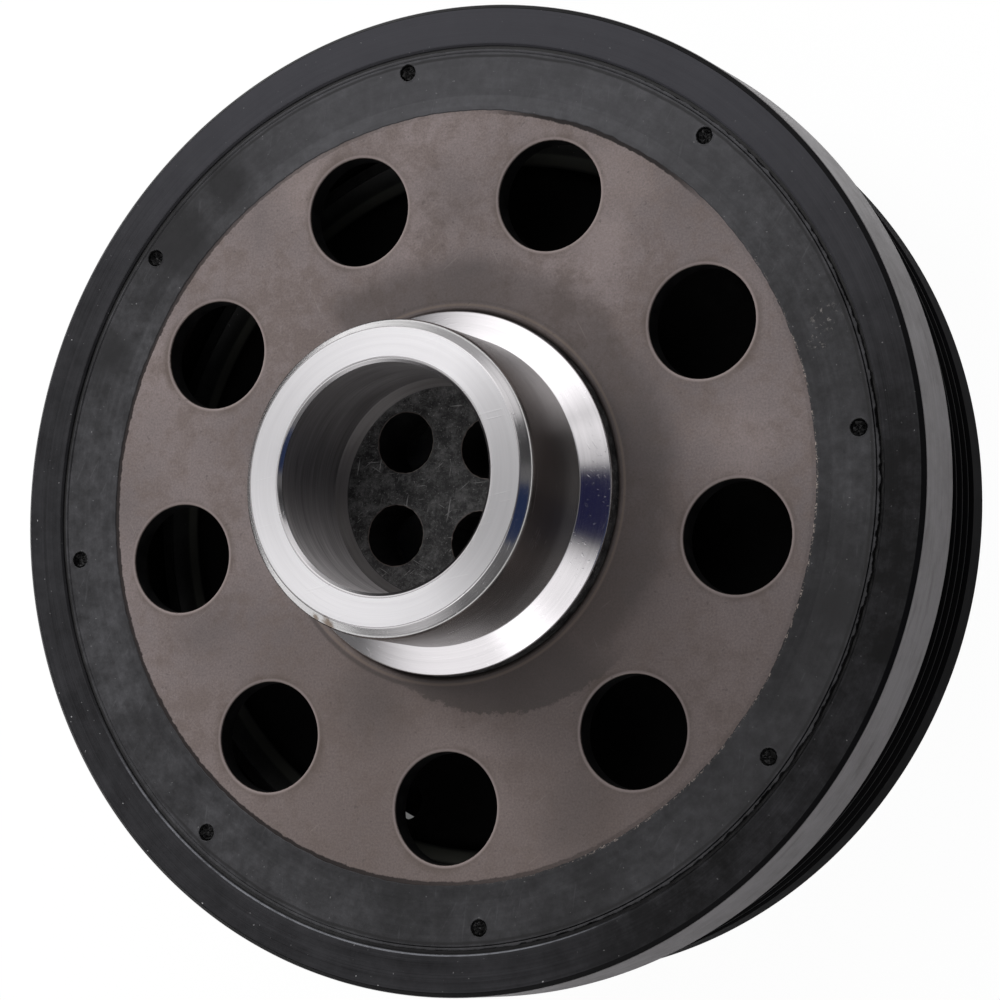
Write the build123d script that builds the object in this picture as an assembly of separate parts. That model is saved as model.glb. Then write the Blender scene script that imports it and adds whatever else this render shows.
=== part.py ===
from build123d import *
import os
from math import asin, cos, radians, sin, tan

# A crankshaft harmonic balancer with a decoupled belt pulley, in millimetres.
# The axis is Z. The pulley's front face lies on z = 0 and the hub's nose points up,
# towards the engine. Radii are worked from the belt inwards, heights from the front face up.

# V-ribbed pulley
belt_radius = 92.1
pulley_width = 29.4
groove_count = 6
groove_pitch = 3.56
groove_angle = 40.0
rib_crest_width = 0.6
groove_root_width = 0.7
rear_shoulder_width = 2.3
pulley_wall = 3.4
pulley_edge_break = 0.8
front_land_width = 5.6
front_dish_depth = 4.0
front_dish_slope = 2.0
sleeve_stop_height = 1.5
sleeve_stop_width = 1.5

# plain bearings between the pulley and the inertia ring
bush_wall = 1.6
bush_end_gap = 0.5
thrust_thickness = 1.2
thrust_inner_gap = 0.6
thrust_outer_gap = 1.1

# inertia ring
ring_radius = 96.0
ring_width = 15.5
ring_rim_wall = 8.2
ring_rear_chamfer = 0.9
ring_front_chamfer = 0.3
ring_inner_break = 0.4
ring_flange_thickness = 6.0
barrel_wall = 6.0
barrel_length = 13.5
barrel_end_gap = 1.2

# damper rubber, bonded between the web disc and the inertia ring
damper_rubber_thickness = 8.8
damper_rubber_drop = 0.3
damper_rubber_end_gap = 1.2
lip_width = 0.6
lip_height = 0.65
lip_groove_depth = 1.0
lip_groove_width = 0.7
lip_step_width = 0.6
gate_count = 8
gate_radius = 1.65
gate_depth = 1.6
gate_inset = 4.1
gate_phase = 7.9

# pressed web disc
web_thickness = 4.5
web_bend_radius = 5.0
web_rim_depth = 11.0
web_rim_clearance = 1.5
web_rim_side_clearance = 2.0
web_bore_chamfer = 1.4
web_bore_chamfer_depth = 1.2
hole_count = 9
hole_pitch_radius = 60.3
hole_radius = 10.76
hole_phase = 111.26
hole_edge_round = 0.5

# hub
nose_radius = 30.0
nose_reach = 27.85
nose_chamfer = 1.9
nose_corner_round = 1.5
nose_bore_radius = 21.6
nose_mouth_chamfer = 0.8
floor_rise = 3.0
floor_taper_height = 3.1
floor_taper_width = 1.3
floor_thickness = 12.0
collar_radius = 35.16
collar_edge_height = 2.3
collar_cone_height = 3.05
hub_flange_radius = 40.0
hub_flange_thickness = 5.0
hub_barrel_radius = 32.0
spigot_radius = 28.0
spigot_stand_out = 2.0
head_recess_radius = 23.5
head_recess_chamfer = 1.0
bolt_count = 4
bolt_hole_radius = 5.8
bolt_pitch_radius = 12.76
bolt_phase = 40.24

# pressed carrier, coupling rubber and its outer sleeve
carrier_depth_below_web = 19.4
carrier_wall = 2.7
carrier_height = 13.1
carrier_bend_inner_radius = 0.6
window_count = 3
window_radius = 3.7
window_edge_distance = 1.3
window_phase = 13.5
coupling_rubber_thickness = 5.8
coupling_rubber_drop = 0.6
coupling_rubber_hollow = 0.9
coupling_rubber_wrap_angle = 40.0
sleeve_wall = 2.0
sleeve_gap = 1.5
sleeve_drop = 1.6
round_small = 0.5

# heights that follow from the stack: pulley, thrust ring, inertia ring
pulley_rear = pulley_width
ring_front = pulley_rear + thrust_thickness
web_face = ring_front + ring_width
web_underside = web_face - web_thickness
web_rim_end = web_face - web_rim_depth
ring_shelf = web_rim_end - web_rim_clearance
ring_flange_top = ring_front + ring_flange_thickness
barrel_end = ring_front - barrel_length
pulley_step = barrel_end - barrel_end_gap
dish_floor = front_dish_depth
sleeve_front = dish_floor + sleeve_stop_height
carrier_top = web_face - carrier_depth_below_web
carrier_end = carrier_top - carrier_height
hub_floor = web_face + floor_rise
recess_floor = hub_floor - floor_thickness
nose_face = web_face + nose_reach
hub_front = carrier_top - carrier_wall - spigot_stand_out

# radii that follow from the belt inwards
groove_depth = (groove_pitch - rib_crest_width - groove_root_width) / 2 / tan(radians(groove_angle / 2))
bearing_bore_radius = belt_radius - groove_depth - pulley_wall
barrel_outer = bearing_bore_radius - bush_wall
barrel_inner = barrel_outer - barrel_wall
sleeve_outer = barrel_inner - sleeve_gap
sleeve_inner = sleeve_outer - sleeve_wall
carrier_outer = sleeve_inner - coupling_rubber_thickness
carrier_inner = carrier_outer - carrier_wall
ring_bore_radius = ring_radius - ring_rim_wall
web_rim_outer = ring_bore_radius - damper_rubber_thickness
web_rim_inner = web_rim_outer - web_thickness
shelf_bore_radius = web_rim_outer + web_rim_side_clearance


def turned(points, rounds=()):
    """Revolve a closed outline of (radius, height) points, with rounded corners."""
    outline = Plane.XZ * make_face(Polyline(*points, close=True))
    for radius, height, size in rounds:
        corner = outline.vertices().sort_by_distance((radius, 0, height))[0]
        outline = fillet(corner, size)
    return revolve(outline, Axis.Z)


def drilled(solid, count, pitch_radius, phase, radius, low, high):
    """Cut a circle of round holes from low to high."""
    for index in range(count):
        angle = radians(phase + index * 360 / count)
        place = Pos(pitch_radius * cos(angle), pitch_radius * sin(angle), low)
        solid -= place * Cylinder(radius, high - low, align=(Align.CENTER, Align.CENTER, Align.MIN))
    return solid


def make_hub():
    """Nose with its seal journal, collar, floor for the crank bolts and front spigot."""
    taper_radius = nose_bore_radius - floor_taper_width
    cone_top = web_face + collar_edge_height + collar_cone_height
    flange_bottom = web_underside - hub_flange_thickness
    body = turned(
        [
            (0, recess_floor),
            (head_recess_radius, recess_floor),
            (head_recess_radius, hub_front + head_recess_chamfer),
            (head_recess_radius + head_recess_chamfer, hub_front),
            (spigot_radius, hub_front),
            (spigot_radius, carrier_top),
            (hub_barrel_radius, carrier_top),
            (hub_barrel_radius, flange_bottom),
            (hub_flange_radius, flange_bottom),
            (hub_flange_radius, web_underside),
            (collar_radius, web_underside),
            (collar_radius, web_face + collar_edge_height),
            (nose_radius, cone_top),
            (nose_radius, nose_face - nose_chamfer),
            (nose_radius - nose_chamfer, nose_face),
            (nose_bore_radius + nose_mouth_chamfer, nose_face),
            (nose_bore_radius, nose_face - nose_mouth_chamfer),
            (nose_bore_radius, hub_floor + floor_taper_height),
            (taper_radius, hub_floor),
            (0, hub_floor),
        ],
        [
            (nose_radius, nose_face - nose_chamfer, nose_corner_round),
            (hub_barrel_radius, flange_bottom, round_small),
            (head_recess_radius, recess_floor, round_small),
        ],
    )
    return drilled(body, bolt_count, bolt_pitch_radius, bolt_phase, bolt_hole_radius, recess_floor, hub_floor)


def make_web_disc():
    """Pressed disc with nine lightening holes and a rim turned down for the rubber."""
    disc = turned(
        [
            (collar_radius, web_underside),
            (collar_radius, web_face - web_bore_chamfer_depth),
            (collar_radius + web_bore_chamfer, web_face),
            (web_rim_outer, web_face),
            (web_rim_outer, web_rim_end),
            (web_rim_inner, web_rim_end),
            (web_rim_inner, web_underside),
        ],
        [
            (web_rim_outer, web_face, web_bend_radius),
            (web_rim_inner, web_underside, round_small),
        ],
    )
    disc = drilled(disc, hole_count, hole_pitch_radius, hole_phase, hole_radius, web_underside, web_face)
    rims = disc.edges().filter_by(GeomType.CIRCLE)
    rims = rims.filter_by(lambda edge: abs(edge.radius - hole_radius) < round_small / 10)
    return fillet(rims.group_by(Axis.Z)[-1], hole_edge_round)


def make_damper_rubber():
    """Bonded rubber ring with a lip beside the inertia ring and eight moulding gates."""
    top = web_face - damper_rubber_drop
    bottom = ring_flange_top + damper_rubber_end_gap
    lip_outer = ring_bore_radius - lip_groove_width
    lip_inner = lip_outer - lip_width
    step = lip_inner - lip_step_width
    bend_centre_radius = web_rim_outer - web_bend_radius
    bend_centre_height = web_face - web_bend_radius
    edge_angle = asin((top - bend_centre_height) / web_bend_radius)
    edge_radius = bend_centre_radius + web_bend_radius * cos(edge_angle)
    middle_radius = bend_centre_radius + web_bend_radius * cos(edge_angle / 2)
    middle_height = bend_centre_height + web_bend_radius * sin(edge_angle / 2)
    outline = make_face(
        [
            Polyline(
                (edge_radius, top),
                (step, top),
                (lip_inner, top - lip_height),
                (lip_inner, top),
                (lip_outer, top),
                (lip_outer, top - lip_groove_depth),
                (ring_bore_radius, top - lip_groove_depth),
                (ring_bore_radius, bottom),
                (web_rim_outer, bottom),
                (web_rim_outer, bend_centre_height),
            ),
            ThreePointArc(
                (web_rim_outer, bend_centre_height),
                (middle_radius, middle_height),
                (edge_radius, top),
            ),
        ]
    )
    ring = revolve(Plane.XZ * outline, Axis.Z)
    gate_circle = ring_bore_radius - gate_inset
    return drilled(ring, gate_count, gate_circle, gate_phase, gate_radius, top - gate_depth, top)


def make_inertia_ring():
    """Turned iron ring: bare rim, shelf under the rubber, and the barrel that carries the bush."""
    return turned(
        [
            (ring_bore_radius, web_face - ring_inner_break),
            (ring_bore_radius + ring_inner_break, web_face),
            (ring_radius - ring_rear_chamfer, web_face),
            (ring_radius, web_face - ring_rear_chamfer),
            (ring_radius, ring_front + ring_front_chamfer),
            (ring_radius - ring_front_chamfer, ring_front),
            (barrel_outer, ring_front),
            (barrel_outer, barrel_end),
            (barrel_inner, barrel_end),
            (barrel_inner, ring_shelf),
            (shelf_bore_radius, ring_shelf),
            (shelf_bore_radius, ring_flange_top),
            (ring_bore_radius, ring_flange_top),
        ],
        [(barrel_inner, ring_shelf, round_small)],
    )


def make_plain_bush():
    """Radial bush that guides the pulley on the inertia ring's barrel."""
    low = barrel_end + bush_end_gap
    high = ring_front - thrust_thickness - bush_end_gap
    return turned(
        [
            (barrel_outer, low),
            (bearing_bore_radius, low),
            (bearing_bore_radius, high),
            (barrel_outer, high),
        ]
    )


def make_thrust_ring():
    """Flat slide ring between the pulley's rear face and the inertia ring."""
    inner = bearing_bore_radius + thrust_inner_gap
    outer = belt_radius - thrust_outer_gap
    return turned([(inner, pulley_rear), (outer, pulley_rear), (outer, ring_front), (inner, ring_front)])


def groove_outline():
    """Points down the ribbed face, from the rear shoulder to the front land."""
    points = []
    half_mouth = (groove_pitch - rib_crest_width) / 2
    half_root = groove_root_width / 2
    first = pulley_rear - rear_shoulder_width - half_mouth
    for index in range(groove_count):
        centre = first - index * groove_pitch
        points.append((belt_radius, centre + half_mouth))
        points.append((belt_radius - groove_depth, centre + half_root))
        points.append((belt_radius - groove_depth, centre - half_root))
        points.append((belt_radius, centre - half_mouth))
    return points


def make_pulley():
    """Ribbed rim with its bearing bore, the seat for the coupling sleeve and a dished front."""
    dish_outer = belt_radius - front_land_width
    return turned(
        [
            (bearing_bore_radius, pulley_rear),
            (belt_radius - round_small, pulley_rear),
            (belt_radius, pulley_rear - round_small),
            *groove_outline(),
            (belt_radius, pulley_edge_break),
            (belt_radius - pulley_edge_break, 0),
            (dish_outer, 0),
            (dish_outer - front_dish_slope, dish_floor),
            (sleeve_outer - sleeve_stop_width, dish_floor),
            (sleeve_outer - sleeve_stop_width, sleeve_front),
            (sleeve_outer, sleeve_front),
            (sleeve_outer, pulley_step),
            (bearing_bore_radius, pulley_step),
        ],
    )


def make_coupling_carrier():
    """Pressed cup on the hub's spigot that carries the coupling rubber on its wall."""
    cup = turned(
        [
            (spigot_radius, carrier_top - carrier_wall),
            (spigot_radius, carrier_top),
            (carrier_outer, carrier_top),
            (carrier_outer, carrier_end),
            (carrier_inner, carrier_end),
            (carrier_inner, carrier_top - carrier_wall),
        ],
        [
            (carrier_outer, carrier_top, carrier_wall + carrier_bend_inner_radius),
            (carrier_inner, carrier_top - carrier_wall, carrier_bend_inner_radius),
        ],
    )
    window_circle = carrier_inner - window_edge_distance - window_radius
    low = carrier_top - carrier_wall
    return drilled(cup, window_count, window_circle, window_phase, window_radius, low, carrier_top)


def make_coupling_sleeve():
    """Steel sleeve bonded outside the coupling rubber and pressed into the pulley."""
    high = carrier_top - sleeve_drop
    return turned(
        [
            (sleeve_inner, sleeve_front),
            (sleeve_outer, sleeve_front),
            (sleeve_outer, high),
            (sleeve_inner, high),
        ]
    )


def make_coupling_rubber():
    """Soft rubber ring that drives the pulley, bonded up the cup's bend and hollowed at both ends."""
    bend_radius = carrier_wall + carrier_bend_inner_radius
    bend_centre = (carrier_outer - bend_radius, carrier_top - bend_radius)
    bend = [
        (bend_centre[0] + bend_radius * cos(angle), bend_centre[1] + bend_radius * sin(angle))
        for angle in (0, radians(coupling_rubber_wrap_angle / 2), radians(coupling_rubber_wrap_angle))
    ]
    high = carrier_top - sleeve_drop - coupling_rubber_drop
    high_middle_height = (bend[2][1] + high) / 2 - coupling_rubber_hollow
    high_middle = ((bend[2][0] + sleeve_inner) / 2, high_middle_height)
    low = carrier_end + coupling_rubber_drop
    low_middle = ((carrier_outer + sleeve_inner) / 2, low + coupling_rubber_hollow)
    outline = make_face(
        [
            Line((carrier_outer, low), bend[0]),
            ThreePointArc(*bend),
            ThreePointArc(bend[2], high_middle, (sleeve_inner, high)),
            Line((sleeve_inner, high), (sleeve_inner, low)),
            ThreePointArc((sleeve_inner, low), low_middle, (carrier_outer, low)),
        ]
    )
    return revolve(Plane.XZ * outline, Axis.Z)


os.makedirs("parts", exist_ok=True)
pieces = {
    "hub": make_hub(),
    "web_disc": make_web_disc(),
    "damper_rubber": make_damper_rubber(),
    "inertia_ring": make_inertia_ring(),
    "plain_bush": make_plain_bush(),
    "thrust_ring": make_thrust_ring(),
    "pulley": make_pulley(),
    "coupling_carrier": make_coupling_carrier(),
    "coupling_rubber": make_coupling_rubber(),
    "coupling_sleeve": make_coupling_sleeve(),
}
for node, shape in pieces.items():
    export_step(shape, f"parts/{node}.step")
    print(node, round(shape.volume), "mm3")
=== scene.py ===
import math

import bmesh
import bpy
from mathutils import Matrix, Vector, noise


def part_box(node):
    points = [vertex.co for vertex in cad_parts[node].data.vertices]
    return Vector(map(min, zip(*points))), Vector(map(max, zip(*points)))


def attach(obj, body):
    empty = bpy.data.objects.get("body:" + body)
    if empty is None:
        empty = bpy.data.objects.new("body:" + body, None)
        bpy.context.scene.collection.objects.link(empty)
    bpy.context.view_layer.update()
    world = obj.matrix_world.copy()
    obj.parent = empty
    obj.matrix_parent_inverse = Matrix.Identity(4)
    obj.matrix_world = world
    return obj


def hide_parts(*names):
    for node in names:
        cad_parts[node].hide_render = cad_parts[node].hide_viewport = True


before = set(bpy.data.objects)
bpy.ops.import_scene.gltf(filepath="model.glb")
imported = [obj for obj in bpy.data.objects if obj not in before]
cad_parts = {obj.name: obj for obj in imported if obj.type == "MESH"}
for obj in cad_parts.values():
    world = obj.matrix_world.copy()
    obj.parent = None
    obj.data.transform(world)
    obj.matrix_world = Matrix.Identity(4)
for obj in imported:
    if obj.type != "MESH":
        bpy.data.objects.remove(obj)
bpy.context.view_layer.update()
scene = bpy.context.scene
mm = 0.001


def nodeSpan(node):
    # outer radius, lowest and highest height of a CAD node, in millimetres
    low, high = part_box(node)
    return high[0] / mm, low[2] / mm, high[2] / mm


webRim, webEnd, webFace = nodeSpan("web_disc")
print("frame loaded, web face at", round(webFace, 2), "mm")


def newMaterial(name):
    material = bpy.data.materials.new(name)
    material.use_nodes = True
    tree = material.node_tree
    tree.nodes.clear()
    output = tree.nodes.new("ShaderNodeOutputMaterial")
    shader = tree.nodes.new("ShaderNodeBsdfPrincipled")
    shader.inputs["Specular IOR Level"].default_value = 0.4
    tree.links.new(shader.outputs["BSDF"], output.inputs["Surface"])
    return material, tree, shader


def plug(tree, source, target):
    # links a socket, or sets a number or colour
    if isinstance(source, bpy.types.NodeSocket):
        tree.links.new(source, target)
    else:
        target.default_value = source


def dress(tree, shader, colour, rough, normal, metal=0.0, gloss=0.4):
    names = ("Base Color", "Roughness", "Normal", "Metallic", "Specular IOR Level")
    for name, source in zip(names, (colour, rough, normal, metal, gloss)):
        plug(tree, source, shader.inputs[name])


def calc(tree, operation, first, second=0.0, third=0.0):
    node = tree.nodes.new("ShaderNodeMath")
    node.operation = operation
    for value, socket in zip((first, second, third), node.inputs):
        plug(tree, value, socket)
    return node.outputs[0]


def times(tree, first, second):
    return calc(tree, "MULTIPLY", first, second)


def timesPlus(tree, first, second, added):
    return calc(tree, "MULTIPLY_ADD", first, second, added)


def vectorCalc(tree, operation, first, second, out="Vector"):
    node = tree.nodes.new("ShaderNodeVectorMath")
    node.operation = operation
    plug(tree, first, node.inputs[0])
    plug(tree, second, node.inputs["Scale"] if operation == "SCALE" else node.inputs[1])
    return node.outputs[out]


def position(tree):
    return tree.nodes.new("ShaderNodeTexCoord").outputs["Object"]


def parts(tree, vector):
    # x, y and z of a vector
    split = tree.nodes.new("ShaderNodeSeparateXYZ")
    plug(tree, vector, split.inputs[0])
    return split.outputs


def radiusFrom(tree, centre=(0.0, 0.0)):
    # distance from the axis, or from an upright line beside it, in millimetres
    away = vectorCalc(tree, "SUBTRACT", position(tree), (centre[0] * mm, centre[1] * mm, 0))
    x, y = parts(tree, away)[:2]
    square = timesPlus(tree, y, y, times(tree, x, x))
    return times(tree, calc(tree, "SQRT", square), 1 / mm)


def outward(tree):
    # unit vector away from the axis
    return vectorCalc(tree, "NORMALIZE", vectorCalc(tree, "MULTIPLY", position(tree), (1, 1, 0)), (0, 0, 0))


def turnedVector(tree, around, across):
    # runs slowly round the axis and fast across it, for lathe marks on flats and on upright walls
    height = times(tree, parts(tree, position(tree))[2], 1 / mm)
    step = timesPlus(tree, height, -0.83, radiusFrom(tree))
    lift = tree.nodes.new("ShaderNodeCombineXYZ")
    plug(tree, times(tree, step, across), lift.inputs[2])
    return vectorCalc(tree, "ADD", vectorCalc(tree, "SCALE", outward(tree), around), lift.outputs[0])


def cloud(tree, scale, detail, rough, vector=None):
    node = tree.nodes.new("ShaderNodeTexNoise")
    plug(tree, vector or position(tree), node.inputs["Vector"])
    node.inputs["Scale"].default_value = scale
    node.inputs["Detail"].default_value = detail
    node.inputs["Roughness"].default_value = rough
    return node.outputs["Fac"]


def ramp(tree, source, stops):
    # stops are (place, level) or (place, colour)
    node = tree.nodes.new("ShaderNodeValToRGB")
    points = node.color_ramp.elements
    while len(points) < len(stops):
        points.new(0.5)
    for point, (place, level) in zip(points, stops):
        point.position = place
        point.color = (*level, 1) if isinstance(level, (tuple, list)) else (level, level, level, 1)
    plug(tree, source, node.inputs[0])
    return node.outputs[0]


def patchy(tree, scale, detail, rough, low, high, vector=None):
    # 1 where a cloud is thick, 0 where it is thin
    return ramp(tree, cloud(tree, scale, detail, rough, vector), ((low, 0.0), (high, 1.0)))


def spread(tree, source, low, high, newLow=0.0, newHigh=1.0):
    node = tree.nodes.new("ShaderNodeMapRange")
    node.interpolation_type = "SMOOTHSTEP"
    for value, socket in zip((source, low, high, newLow, newHigh), node.inputs):
        plug(tree, value, socket)
    return node.outputs[0]


def blendColour(tree, share, first, second, way="MIX"):
    node = tree.nodes.new("ShaderNodeMix")
    node.data_type = "RGBA"
    node.blend_type = way
    plug(tree, share, node.inputs[0])
    for value, socket in ((first, node.inputs[6]), (second, node.inputs[7])):
        plug(tree, value if isinstance(value, bpy.types.NodeSocket) else (*value, 1), socket)
    return node.outputs[2]


def tinted(tree, body, mask, share, colour):
    # the colour laid over the body where the mask is 1, as strongly as the share
    return blendColour(tree, times(tree, mask, share), body, colour)


def bump(tree, height, strength, distance, under=None):
    node = tree.nodes.new("ShaderNodeBump")
    node.inputs["Strength"].default_value = strength
    node.inputs["Distance"].default_value = distance * mm
    plug(tree, height, node.inputs["Height"])
    if under:
        plug(tree, under, node.inputs["Normal"])
    return node.outputs[0]


def ringMask(tree, centre, halfWidth, soft, radius=None):
    # 1 on a ring of that radius, 0 away from it
    away = calc(tree, "ABSOLUTE", calc(tree, "SUBTRACT", radius or radiusFrom(tree), centre))
    return spread(tree, away, halfWidth, halfWidth + soft, 1.0, 0.0)


def towards(tree, direction, aim, inner, outer):
    # 1 where a direction points at the aim, fading to 0 between two angles from it, in degrees
    dot = vectorCalc(tree, "DOT_PRODUCT", direction, tuple(Vector(aim).normalized()), "Value")
    return spread(tree, dot, math.cos(math.radians(outer)), math.cos(math.radians(inner)))


def sideMask(tree, angle, inner, outer):
    # the same round the axis
    aim = (math.cos(math.radians(angle)), math.sin(math.radians(angle)), 0)
    return towards(tree, outward(tree), aim, inner, outer)


def spotMask(tree, place, fade, share=1.0, mist=None, ragged=0.0):
    # round patch at (x, y, reach) in millimetres, fading out between two shares of its reach,
    # with an edge that a mist makes ragged
    x, y, reach = place
    away = radiusFrom(tree, (x, y))
    if mist:
        away = timesPlus(tree, mist, -ragged * reach, away)
    return spread(tree, away, fade[0] * reach, fade[1] * reach, share, 0.0)


def holeDistance(tree, holes):
    # distance from the middle of the nearest hole of an evenly spaced circle, in millimetres
    x, y = parts(tree, position(tree))[:2]
    radius = radiusFrom(tree)
    turn = 2 * math.pi / holes["count"]
    lift = 4 * math.pi + turn / 2 - math.radians(holes["phase"])  # whole turns keep the angle above zero
    shifted = calc(tree, "ADD", calc(tree, "ARCTAN2", y, x), lift)
    folded = calc(tree, "SUBTRACT", calc(tree, "MODULO", shifted, turn), turn / 2)
    along = times(tree, radius, calc(tree, "SINE", folded))
    away = timesPlus(tree, radius, calc(tree, "COSINE", folded), -holes["pitch"])
    square = timesPlus(tree, along, along, times(tree, away, away))
    return calc(tree, "SQRT", square)


def scratches(tree, angles, fine, stretch, cut):
    # thin straight marks that run at the given angles, in degrees
    marks = 0.0
    for turn in angles:
        turned = tree.nodes.new("ShaderNodeVectorRotate")
        turned.rotation_type = "Z_AXIS"
        turned.inputs["Angle"].default_value = -math.radians(turn)
        plug(tree, position(tree), turned.inputs["Vector"])
        drawn = vectorCalc(tree, "MULTIPLY", turned.outputs[0], (fine / stretch, fine, fine))
        moved = vectorCalc(tree, "ADD", drawn, (turn, 0, 0))
        marks = calc(tree, "MAXIMUM", marks, patchy(tree, 1, 1, 0.5, cut, cut + 0.04, moved))
    return marks


def evenAngles(count, phase=0.0):
    return [math.radians(phase + 360 * i / count) for i in range(count)]


def wobble(angle, seed, fine=1.0):
    # smooth and repeatable unevenness round the axis, about -1 to 1
    return noise.noise(Vector((math.cos(angle) * fine, math.sin(angle) * fine, seed))) * 2


def guarded(profile, gap=0.1, longRun=0.7):
    # extra points near both ends of each long straight run, so that it keeps its flat shading
    points = list(profile[:1])
    for a, b in zip(profile, profile[1:]):
        length = math.dist(a[:2], b[:2])
        if length > longRun and len(a) == 2 and len(b) == 2:
            share = gap / length
            points += [tuple(Vector(a).lerp(Vector(b), t)) for t in (share, 1 - share)]
        points.append(b)
    return points


def stitch(bm, low, high, finish, up=True, closed=True):
    # faces between two rows of points
    count = len(low)
    for i in range(count if closed else count - 1):
        j = (i + 1) % count
        corners = (low[i], low[j], high[j], high[i])
        face = bm.faces.new(corners if up else corners[::-1])
        face.material_index = finish


def spinStrip(bm, profile, angles, finish=0):
    # a profile of (radius, height), or (radius, height, shift) with shift(angle) -> (dr, dz)
    rings = []
    for point in guarded(profile):
        ring = []
        for angle in angles:
            dr, dz = point[2](angle) if len(point) > 2 else (0, 0)
            r, z = point[0] + dr, point[1] + dz
            ring.append(bm.verts.new((r * math.cos(angle) * mm, r * math.sin(angle) * mm, z * mm)))
        rings.append(ring)
    for low, high in zip(rings, rings[1:]):
        stitch(bm, low, high, finish)


def piercedPatch(bm, hole, centreAngle, band, angles, rows, height, rim, finish=0, rimFinish=(), up=True):
    # flat patch between two radii with one round hole; rim has steps down the hole as
    # (extra radius, drop, shift), each with its own finish if it needs one
    inner, outer = band
    start, end = angles[0], angles[-1]
    cx, cy = hole["pitch"] * math.cos(centreAngle), hole["pitch"] * math.sin(centreAngle)
    edge = [(outer, a) for a in angles[:-1]]
    edge += [(outer + (inner - outer) * i / rows, end) for i in range(rows)]
    edge += [(inner, a) for a in reversed(angles[1:])]
    edge += [(inner + (outer - inner) * i / rows, start) for i in range(rows)]
    ways = []
    for r, a in edge:
        wayX, wayY = r * math.cos(a) - cx, r * math.sin(a) - cy
        reach = math.hypot(wayX, wayY)
        ways.append((wayX / reach, wayY / reach, reach))
    first = hole["radius"] + rim[0][0]
    # rows on the flat close up towards the hole, then the rim's steps go down it
    levels = [(share, 0.0, rim[0][1], None, finish) for share in (1.0, 0.72, 0.42, 0.2, 0.07, 0.0)]
    for k, (radius, drop, *shift) in enumerate(rim[1:]):
        chosen = rimFinish[k] if k < len(rimFinish) else finish
        levels.append((0.0, radius - rim[0][0], drop, shift[0] if shift else None, chosen))
    rings = []
    for share, extra, drop, shift, chosen in levels:
        ring = []
        for ux, uy, reach in ways:
            far = first + extra + (reach - first) * share
            # no two holes are worn alike
            dr, dz = shift(math.atan2(uy, ux) + 7 * centreAngle) if shift else (0, 0)
            place = (cx + ux * (far + dr), cy + uy * (far + dr), height - drop + dz)
            ring.append(bm.verts.new([value * mm for value in place]))
        rings.append(ring)
    for low, high, level in zip(rings, rings[1:], levels[1:]):
        stitch(bm, low, high, level[-1], up)
    return rings[-1]


def plainPatch(bm, band, angles, rows, height, finish=0, up=True):
    # flat arc between two radii, in as many rows as the patches beside it
    inner, outer = band
    radii = [inner + (outer - inner) * i / rows for i in range(rows + 1)]
    lines = []
    for a in angles:
        x, y = math.cos(a), math.sin(a)
        lines.append([bm.verts.new((r * x * mm, r * y * mm, height * mm)) for r in radii])
    for near, far in zip(lines, lines[1:]):
        stitch(bm, near, far, finish, up, closed=False)


def makePiece(bm, name, finishes, node, sharp=math.radians(34)):
    # joins the strips and patches, and puts the piece in the place of its CAD node
    bmesh.ops.remove_doubles(bm, verts=bm.verts, dist=0.002 * mm)
    bmesh.ops.recalc_face_normals(bm, faces=bm.faces)
    mesh = bpy.data.meshes.new(name)
    bm.to_mesh(mesh)
    bm.free()
    mesh.shade_smooth()
    mesh.set_sharp_from_angle(angle=sharp)
    piece = bpy.data.objects.new(name, mesh)
    scene.collection.objects.link(piece)
    for finish in finishes:
        mesh.materials.append(finish)
    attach(piece, "root")
    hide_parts(node)
    print("made", name, len(mesh.polygons), "faces")


def rounded(corner, before, after, size, steps=3):
    # points that round a corner of a profile, between two straight runs
    c, a, b = Vector(corner), Vector(before), Vector(after)
    toA, toB = (a - c).normalized(), (b - c).normalized()
    half = toA.angle(toB) / 2
    start, end = c + toA * size, c + toB * size
    middle = c + (toA + toB).normalized() * (size / math.cos(half))
    radius = size * math.tan(half)
    points = []
    for i in range(steps + 1):
        mixed = start.lerp(end, i / steps)
        points.append(tuple(middle + (mixed - middle).normalized() * radius))
    return points


def roundedProfile(corners):
    # corners are (radius, height) or (radius, height, rounding)
    points = []
    for i, corner in enumerate(corners):
        if len(corner) == 2 or i in (0, len(corners) - 1):
            points.append(tuple(corner[:2]))
        else:
            points += rounded(corner[:2], corners[i - 1][:2], corners[i + 1][:2], corner[2])
    return points


def holeSpans(middles, half, sides):
    # the angles across each hole's patch
    return [[a - half + 2 * half * k / sides for k in range(sides + 1)] for a in middles]


def gapSpans(middles, half, steps):
    # the angles from each hole's patch to the next one
    gaps = []
    for middle, after in zip(middles, middles[1:] + [middles[0] + 2 * math.pi]):
        width = after - middle - 2 * half
        gaps.append([middle + half + width * k / steps for k in range(steps + 1)])
    return gaps


def quarterBend(radius, height, size, steps=9):
    # outer bend of a pressed sheet, from its flat top down to its wall
    turns = [math.radians(90 * i / steps) for i in range(steps + 1)]
    return [(radius + size * math.sin(t), height - size + size * math.cos(t)) for t in turns]


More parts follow.
